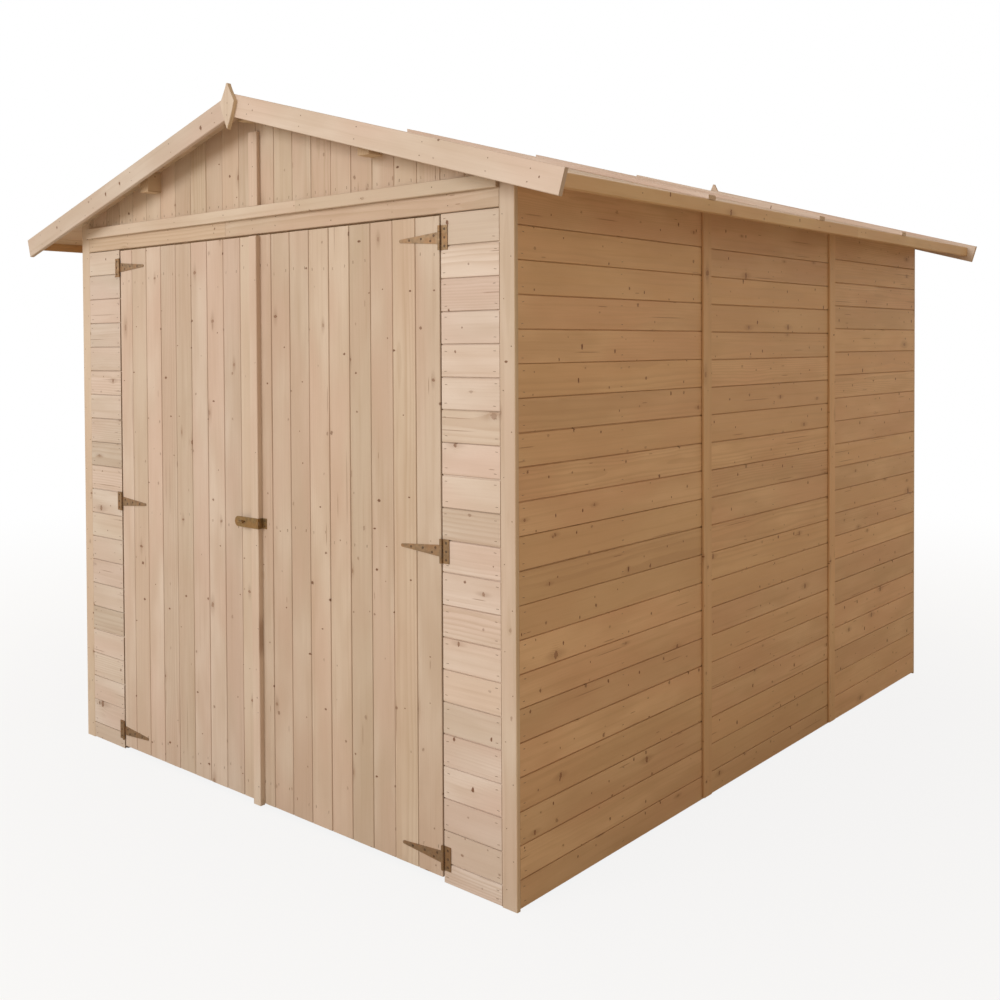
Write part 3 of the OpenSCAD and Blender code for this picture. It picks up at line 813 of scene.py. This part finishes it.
def roof_strips():
    # the strips' sideways ends get the flank wood, a painted shade
    tb = Timber("roof_cover_strips", "garage", ("roof_strips",), "trim_timber", "front", "flank")
    w, t = ROOF_STRIP_W, ROOF_STRIP_T
    height = lambda a, o: o + t
    for sx, _ in SIDES:
        down, normal = slope(sx)
        for y in PANEL_Y[1:-1]:
            tb.bar(Vector((0, y - w / 2, RIDGE_Z)) + normal * t, down, Y, normal, UNCUT, w, t,
                   start=plumb(ROOF_STRIP_X, height), stop=plumb(ROOF_X, height),
                   nails=spaced(.08, .28, 5), nail_rows=(w / 2,))
    tb.done()


def eave_boards():
    # the eave boards are of the eave wood, with its painted shade
    tb = Timber("eave_boarding", "garage", ("eave_boards",), "trim_timber", "eave")
    foot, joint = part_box("eave_boards")[0].z, .31
    for sx, _ in SIDES:
        for y0, y1 in ((-DECK_Y, joint), (joint, DECK_Y)):
            tb.plain_board((sx * ROOF_X, y0, foot), Y, Z, X * sx, y1 - y0, top(ROOF_X) - foot,
                           ROOF_X - DECK_X, high=TAN, nails=spaced(.03, .36, 4),
                           nail_rows=(.019,))
    tb.done()


def barges():
    """A board down each slope. The back ones are of the eave wood, a painted shade, with a painted
    lit colour where they face the front or the sky; the front ones are pale all over.
    """
    for sy, end in ENDS:
        node = f"{end}_barges"
        lo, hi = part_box(node)
        face = lo.y if sy < 0 else hi.y
        tb = Timber(f"{end}_barge_boards", "garage", (node,), "trim_timber",
                    "barge" if sy < 0 else "eave", "barge", lambda n: n.y < -.5 or n.z > .5)
        for sx, _ in SIDES:
            down, normal = slope(sx)
            tb.plain_board((0, face, hi.z), down, -normal, Y * sy, hi.x / COS, BARGE_W,
                           hi.y - lo.y, ease=.0018, start=lambda a, o: a * TAN + .0004,
                           nails=[.10, .34, .58, .83, 1.06, 1.2])
        tb.done()


def beams():
    lo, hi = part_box("ridge_beam")
    tb = Timber("ridge_beam_timber", "garage", ("ridge_beam",), "framing_timber", "sawn")
    tb.bar(lo, Y, Z, -X, hi.y - lo.y, under(hi.x) - lo.z, hi.x - lo.x, ease=.002)
    tb.done()
    lo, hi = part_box("purlins")
    tb = Timber("purlin_timbers", "garage", ("purlins",), "framing_timber", "sawn")
    for sx in (1, -1):
        tb.bar((sx * PURLIN_X, lo.y, lo.z), Y, Z, X * -sx, hi.y - lo.y, under(PURLIN_X) - lo.z,
               PURLIN_END - PURLIN_X, ease=.002, high=-TAN)
    tb.done()


def finial_outline(w, head, foot):
    """Round tip, flanks that widen to w on each side at the shoulder, and a point at the foot."""
    tip_r, shoulder = .005, .058
    upper, lower = 8, 6                  # steps on each flank above and below the shoulder
    tip = []
    for degrees in range(0, 181, 15):
        a = math.radians(degrees)
        tip.append((tip_r * math.cos(a), head - tip_r + tip_r * math.sin(a)))
    flank = []
    for k in range(1, upper + 1):
        u = k / upper
        flank.append((tip_r + (w - tip_r) * u ** 1.12, head - tip_r - (shoulder - tip_r) * u))
    for k in range(1, lower):
        u = k / lower
        flank.append((w * (1 - u) * (1 + .28 * u),
                      head - shoulder - (head - foot - shoulder) * u))
    return tip + [(-x, z) for x, z in flank] + [(0, foot)] + flank[::-1]


def finials():
    # the front finial gets a painted shade on its sideways faces; the back one is of the eave wood,
    # a painted shade, with a painted lit colour on all but its back face
    looks = {"front": ("trim", "flank", turned_sideways),
             "back": ("eave", "trim", lambda n: n.y < .5)}
    for sy, end in ENDS:
        node = f"{end}_finial"
        lo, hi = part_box(node)
        back, face = (hi.y, lo.y) if sy < 0 else (lo.y, hi.y)
        tb = Timber(node + "_board", "garage", (node,), "trim_timber", *looks[end])
        tb.prism(finial_outline(hi.x, hi.z, lo.z), back, face)
        for x, below_tip in ((.002, .062), (-.001, .098)):
            tb.nail(x, face, hi.z - below_tip, Y * sy)
        tb.done()


# ---- Doors -------------------------------------------------------------------

def door_leaf(sx, side):
    """Standing boards, cut a little unevenly and nailed to most of the ledges."""
    node = f"door_{side}_leaf"
    lo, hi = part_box(node)
    x0, x1 = sorted((abs(lo.x), abs(hi.x)))
    height = hi.z - lo.z
    edges = [0.0, *spaced(DOOR_FIRST[side], DOOR_COVER, DOOR_BOARDS - 1), x1 - x0]
    rows = [z + LEDGE_W / 2 - lo.z for z in LEDGE_Z]
    tb = Timber(f"door_{side}_boards", f"{side}_door", (node,), "door_boards", f"door_{side}")
    for i, (a, b) in enumerate(zip(edges, edges[1:])):
        foot, head = tb.rnd.uniform(-.0008, .0004), tb.rnd.uniform(-.0004, .0008)
        held = [z + tb.rnd.uniform(-.016, .016) for z in rows if tb.rnd.random() < .7]
        tb.board((sx * (x0 + a), FRONT_Y, lo.z), Z, X * sx, -Y, height, b - a,
                 tongue=i < DOOR_BOARDS - 1, groove=i > 0, ease=.0014,
                 start=lambda p, q: foot, stop=lambda p, q: height + head,
                 nails=held, staples=True)
    tb.done()


def door_ledges(sx, side):
    """Three ledges on the back of a leaf, and a brace between each two."""
    node = f"door_{side}_braces"
    lo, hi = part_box(node)
    x0, x1 = sorted((abs(lo.x), abs(hi.x)))
    face, w = FRONT_Y + T + BATTEN_T, LEDGE_W
    tb = Timber(f"door_{side}_ledges", f"{side}_door", (node,), "framing_timber", "sawn")
    for z in LEDGE_Z:
        tb.bar((sx * x0, face, z), X * sx, Z, Y, x1 - x0, w, ease=.002, nails=[.03, .33, .67],
               nail_rows=(.02, .02))
    for lower, upper in zip(LEDGE_Z, LEDGE_Z[1:]):
        foot = Vector((sx * (x1 - .65 * w), face, lower + w))
        head = Vector((sx * (x0 + .65 * w), face, upper))
        length, along = (head - foot).length, (head - foot).normalized()
        across = Y.cross(along)
        if across.x * sx < 0:
            across = -across
        brace_w = 1.3 * w * abs(along.z)
        level = lambda a, o: -(a - brace_w / 2) * across.z / along.z
        tb.bar(foot - across * brace_w / 2, along, across, Y, length, brace_w, ease=.002,
               start=level, stop=lambda a, o: length + level(a, o))
    tb.done()


def meeting_strip():
    """Strip on the right leaf, rebated where it laps the left one."""
    lo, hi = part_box("meeting_strip")
    w, t, lap, rebate, e = hi.x - lo.x, hi.y - lo.y, .020, .005, .0018
    shape = [(0, -e), (e, 0), (w - e, 0), (w, -e), (w, -t), (lap, -t), (lap, -t + rebate),
             (0, -t + rebate)]
    tb = Timber("meeting_strip_board", "right_door", ("meeting_strip",), "trim_timber", "trim")
    tb.board(lo, Z, X, -Y, hi.z - lo.z, w, profile=shape, play=.3,
             nails=[.06, .3, .56, .83, 1.12, 1.4, 1.66], nail_rows=(.0275,))
    tb.done()


def doors():
    for sx, side in SIDES:
        door_leaf(sx, side)
        door_ledges(sx, side)
    meeting_strip()


# ---- Hardware ------------------------------------------------------------------

def frame_of(out):
    """Two directions in the face that looks towards out, and out itself."""
    n = Vector(out).normalized()
    u = (Z if abs(n.z) < .9 else X).cross(n).normalized()
    return u, n.cross(u), n


def nail_pieces():
    """Nail heads, and the crowns of staples lying along the grain, all a little sunk."""
    rnd = random.Random(5)
    sides = 8
    for body, found in NAILS.items():
        verts, faces = [], []
        for p, out, along in found:
            u, v, n = frame_of(out)
            turn = rnd.uniform(0, 1)
            r, stretch = rnd.uniform(.0014, .0018), 0.0
            if along:                    # a staple: thinner, and drawn out along the grain
                u, r, stretch, turn = along, .0007, .0036, .5
                v = n.cross(u)
                a = rnd.uniform(-.12, .12)
                u, v = u * math.cos(a) + v * math.sin(a), v * math.cos(a) - u * math.sin(a)
            sink = rnd.uniform(.0001, .0004)
            base = len(verts)
            for rr, h in ((r, -.002), (r, sink), (r * .72, sink + .00025)):
                for k in range(sides):
                    a = math.tau * (k + turn) / sides
                    x = math.cos(a) * rr + math.copysign(stretch, math.cos(a))
                    verts.append(p + u * x + v * (math.sin(a) * rr) + n * h)
            faces += sides_of_rings(base, 3, sides, False)
            faces.append([base + 2 * sides + k for k in range(sides)])
        metal_piece(f"nails_{body}", verts, faces, [NAIL], body)


def screw(verts, faces, dark, p, out, turn):
    """Countersunk screw with a cross recess, whose faces are added to dark and get a painted shade.
    """
    r, sides = .0034, 20
    lip_r, lip_h, recess_h = .9, .0006, -.0009
    u, v, n = frame_of(out)

    def place(x, y, h):
        c, s = math.cos(turn), math.sin(turn)
        return p + (u * (x * c - y * s) + v * (x * s + y * c)) + n * h

    ring = [(math.cos(math.tau * k / sides), math.sin(math.tau * k / sides)) for k in range(sides)]
    b, w = r * .58, r * .15              # the cross's arm and half its width
    cross = [(b, -w), (b, w), (w, w), (w, b), (-w, b), (-w, w), (-b, w), (-b, -w), (-w, -w),
             (-w, -b), (w, -b), (w, -w)]
    corners = len(cross)
    base = len(verts)
    for rr, h in ((1.0, -.0004), (1.0, .00035), (lip_r, lip_h)):
        verts += [place(x * r * rr, y * r * rr, h) for x, y in ring]
    faces += sides_of_rings(base, 3, sides, False)
    lip = len(verts)
    verts += [place(x, y, lip_h + .00002) for x, y in cross]
    outer = [Vector((x * r * lip_r, y * r * lip_r, 0)) for x, y in ring]
    inner = [Vector((x, y, 0)) for x, y in cross]
    flat = outer + inner
    index = [base + 2 * sides + k for k in range(sides)] + [lip + k for k in range(corners)]
    for tri in tessellate_polygon([outer, inner]):
        q0, q1, q2 = (flat[k] for k in tri)
        upwards = (q1 - q0).cross(q2 - q0).z > 0
        faces.append([index[k] for k in (tri if upwards else tri[::-1])])
    foot = len(verts)
    verts += [place(x * .8, y * .8, recess_h) for x, y in cross]
    for k in range(corners):
        j = (k + 1) % corners
        dark.append(len(faces))
        faces.append([lip + j, lip + k, foot + k, foot + j])
    dark.append(len(faces))
    faces.append([foot + k for k in range(corners)])


def screws():
    """Screws of the hinge plates, the straps and the hasp's plate."""
    rnd = random.Random(11)
    places = {"garage": [], "left_door": [], "right_door": []}
    for sx, side in SIDES:
        lo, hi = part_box(f"door_{side}_straps")
        pin = max(abs(lo.x), abs(hi.x)) - KNUCKLE_R
        y = FRONT_Y - .0025
        for z in HINGE_Z:
            for body, offsets in (("garage", PLATE_SCREWS), (f"{side}_door", STRAP_SCREWS)):
                places[body] += [Vector((sx * (pin - dx), y, z + dz)) for dx, dz in offsets]
    lo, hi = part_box("hasp_plate")
    for dz in (-.009, .009):
        places["right_door"].append(
            Vector((hi.x - .009, FRONT_Y - .002, (lo.z + hi.z) / 2 + dz)))
    for body, found in places.items():
        verts, faces, dark = [], [], []
        for p in found:
            screw(verts, faces, dark, p, -Y, rnd.uniform(0, 1.57))
        me = metal_piece(f"screws_{body}", verts, faces, [ZINC_SCREW, ZINC_RECESS_SHADE], body)
        # the recess faces get the painted shade
        for k in dark:
            me.polygons[k].material_index = 1


def metal():
    """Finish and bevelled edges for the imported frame's own hinges and hasp."""
    finishes = {"hinge_plates": ZINC_PLATE, "door_left_straps": ZINC, "door_right_straps": ZINC,
                "hasp_plate": ZINC_HASP, "hasp_strap": ZINC_HASP, "hasp_staple": ZINC_HASP}
    for node, finish in finishes.items():
        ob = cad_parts[node]
        if not ob.data.materials:
            ob.data.materials.append(None)
        for slot in ob.material_slots:
            slot.material = finish
        bevel = ob.modifiers.new("edges", "BEVEL")
        bevel.width, bevel.segments, bevel.limit_method = .0003, 2, "ANGLE"
        bevel.angle_limit = math.radians(40)


for build in (side_walls, front_walls, corner_trims, gables, middle_strips, back_wall, roof_panels,
              rafters, roof_strips, eave_boards, barges, beams, finials, doors, nail_pieces,
              screws, metal):
    build()


# ---- Stage -----------------------------------------------------------------------

def floor():
    """A pale floor that the camera sees nearly white, and that throws warm light back up; its
    colour is darker close to the walls, a painted shade.
    """
    points, radius = 64, 60.0
    me = bpy.data.meshes.new("floor")
    angles = [math.tau * k / points for k in range(points)]
    me.from_pydata([(radius * math.cos(a), radius * math.sin(a), 0) for a in angles], [],
                   [list(range(points))])
    ob = bpy.data.objects.new("floor", me)
    bpy.context.scene.collection.objects.link(ob)
    g = Graph("pale_floor")
    g.bsdf.inputs["Roughness"].default_value = .8
    glow = g.node("ShaderNodeEmission")
    g.put(glow.inputs["Color"], (1, 1, 1))
    far = g.vec("LENGTH", g.node("ShaderNodeNewGeometry").outputs["Position"])
    bounce_and_painted_shade = g.ramp(far, 1.4, 3.4, .70, 1.12)          # darker close to the walls: less light thrown back up, and a painted shade
    g.put(g.bsdf.inputs["Base Color"],
          g.mix(1.0, (.73, .685, .61), g.join(*grey(bounce_and_painted_shade)), "MULTIPLY"))
    share = g.times(g.ramp(far, 1.5, 7.0, .87, 1.0),
                    g.node("ShaderNodeLightPath").outputs["Is Camera Ray"])
    mix = g.node("ShaderNodeMixShader")
    for socket, value in zip(mix.inputs, (share, g.bsdf.outputs[0], glow.outputs[0])):
        g.put(socket, value)
    g.put(g.nt.nodes["Material Output"].inputs["Surface"], mix.outputs[0])
    me.materials.append(g.mat)


def surroundings():
    """Warm light from all round, seen as white by the camera and in reflections."""
    world = bpy.data.worlds.new("studio")
    bpy.context.scene.world = world
    world.use_nodes = True
    nt = world.node_tree
    nt.nodes.clear()
    light, white = (nt.nodes.new("ShaderNodeBackground") for _ in range(2))
    light.inputs["Color"].default_value = (1.0, .81, .62, 1)
    light.inputs["Strength"].default_value = .56
    white.inputs["Color"].default_value = (1, 1, 1, 1)
    path = nt.nodes.new("ShaderNodeLightPath")
    seen = nt.nodes.new("ShaderNodeMath")
    seen.operation = "MAXIMUM"
    mix = nt.nodes.new("ShaderNodeMixShader")
    out = nt.nodes.new("ShaderNodeOutputWorld")
    for source, socket in ((path.outputs["Is Camera Ray"], seen.inputs[0]),
                           (path.outputs["Is Glossy Ray"], seen.inputs[1]),
                           (seen.outputs[0], mix.inputs[0]),
                           (light.outputs[0], mix.inputs[1]),
                           (white.outputs[0], mix.inputs[2]),
                           (mix.outputs[0], out.inputs[0])):
        nt.links.new(source, socket)


def key_light():
    """A wide, slightly cool light high in front of the doors."""
    key = bpy.data.lights.new("key", "AREA")
    key.shape, key.size, key.size_y = "RECTANGLE", 7.0, 6.4
    key.energy = 1130
    key.color = (.94, .975, 1.0)
    target = Vector((0, -.6, 1.0))       # on the part, a little towards the doors
    ob = bpy.data.objects.new("key", key)
    bpy.context.scene.collection.objects.link(ob)
    ob.location = (-2.6, -15.0, 6.2)
    ob.rotation_mode = "QUATERNION"
    ob.rotation_quaternion = (target - ob.location).to_track_quat("-Z", "Y")


def camera():
    """The photograph's view, from the front right corner at eye height."""
    eye = Vector((2.7851, -3.7505, 1.4595))
    yaw, pitch, roll = math.radians(42.915), math.radians(1.177), math.radians(-.366)
    look = Vector((-math.sin(yaw) * math.cos(pitch), math.cos(yaw) * math.cos(pitch),
                   -math.sin(pitch)))
    level = Vector((math.cos(yaw), math.sin(yaw), 0))
    upright = level.cross(look)
    right = level * math.cos(roll) + upright * math.sin(roll)
    up = upright * math.cos(roll) - level * math.sin(roll)
    pose = Matrix((right, up, -look)).transposed().to_4x4()
    pose.translation = eye
    cam = bpy.data.cameras.new("camera")
    cam.sensor_width = 36
    cam.lens = 40.838
    cam.shift_x, cam.shift_y = .0937, -.1296
    cam.clip_start, cam.clip_end = .05, 200
    ob = bpy.data.objects.new("camera", cam)
    bpy.context.scene.collection.objects.link(ob)
    ob.matrix_world = pose
    bpy.context.scene.camera = ob


floor()
surroundings()
key_light()
camera()
bpy.context.scene.view_settings.view_transform = "Standard"
